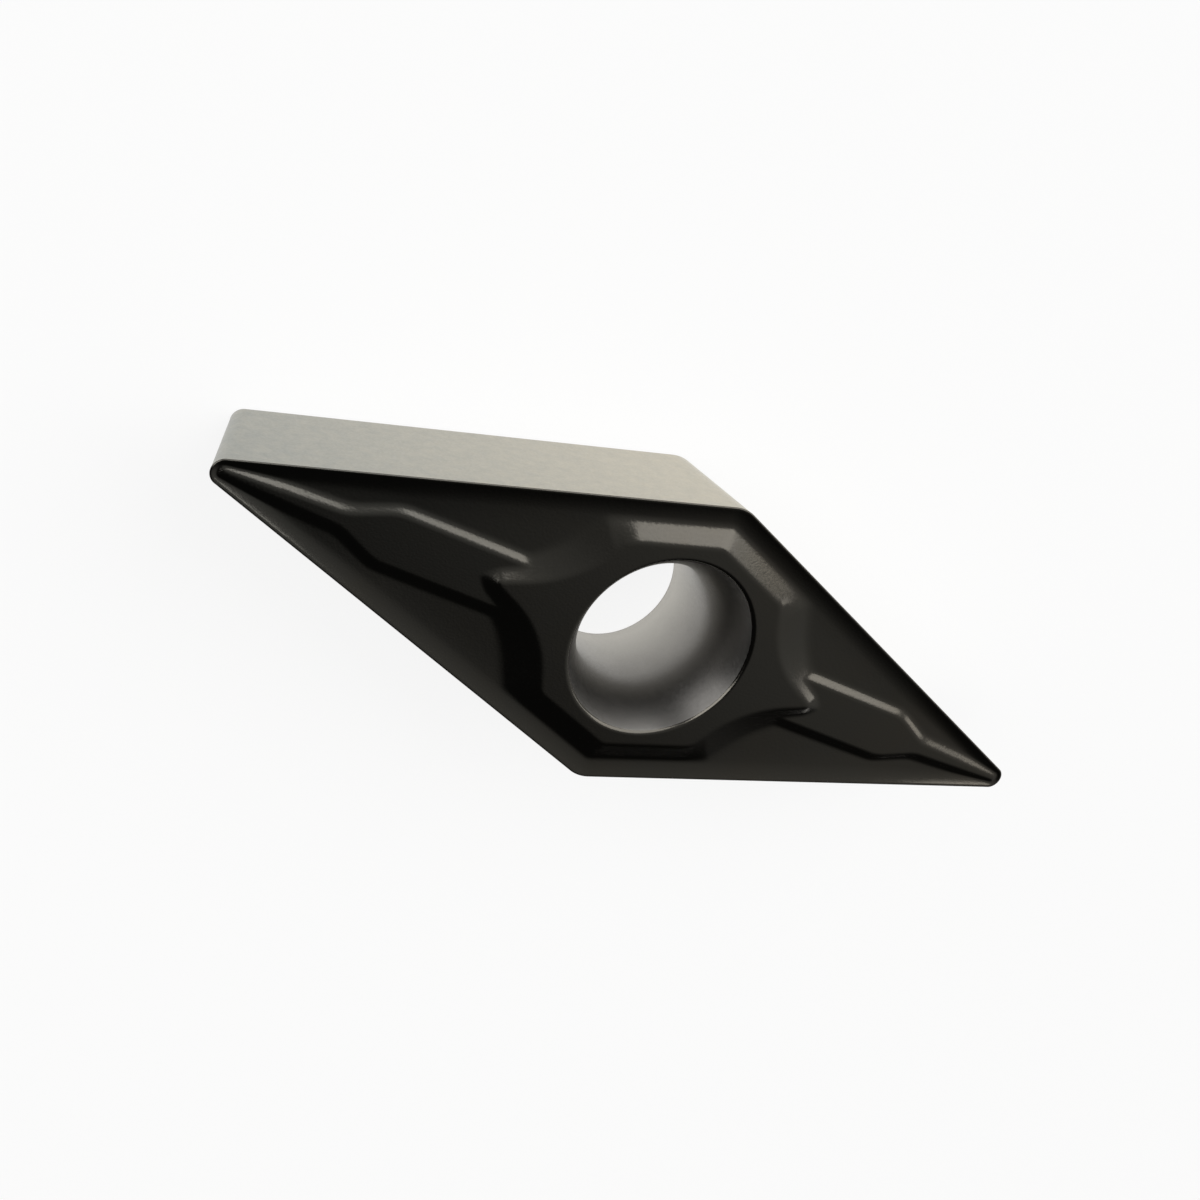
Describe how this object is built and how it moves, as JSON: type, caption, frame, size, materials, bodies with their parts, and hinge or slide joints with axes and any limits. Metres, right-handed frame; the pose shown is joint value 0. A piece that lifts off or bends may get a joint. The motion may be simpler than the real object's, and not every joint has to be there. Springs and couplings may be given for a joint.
{
  "type": "carbide turning insert",
  "caption": "Slender 35 degree rhombic turning insert with relieved flanks, a moulded chipbreaker on the cutting face and a countersunk hole for its fixing screw.",
  "frame": {"origin": "centre of the seat face, which is the bottom of the insert", "axes": "+X along the long diagonal towards an acute nose, +Z out of the cutting face along the fixing hole"},
  "size_m": [0.0298, 0.0098, 0.0049],
  "materials": {
    "coated_carbide": "satin"
  },
  "bodies": {
    "root": {"turning_insert": "coated_carbide"}
  },
  "joints": []
}
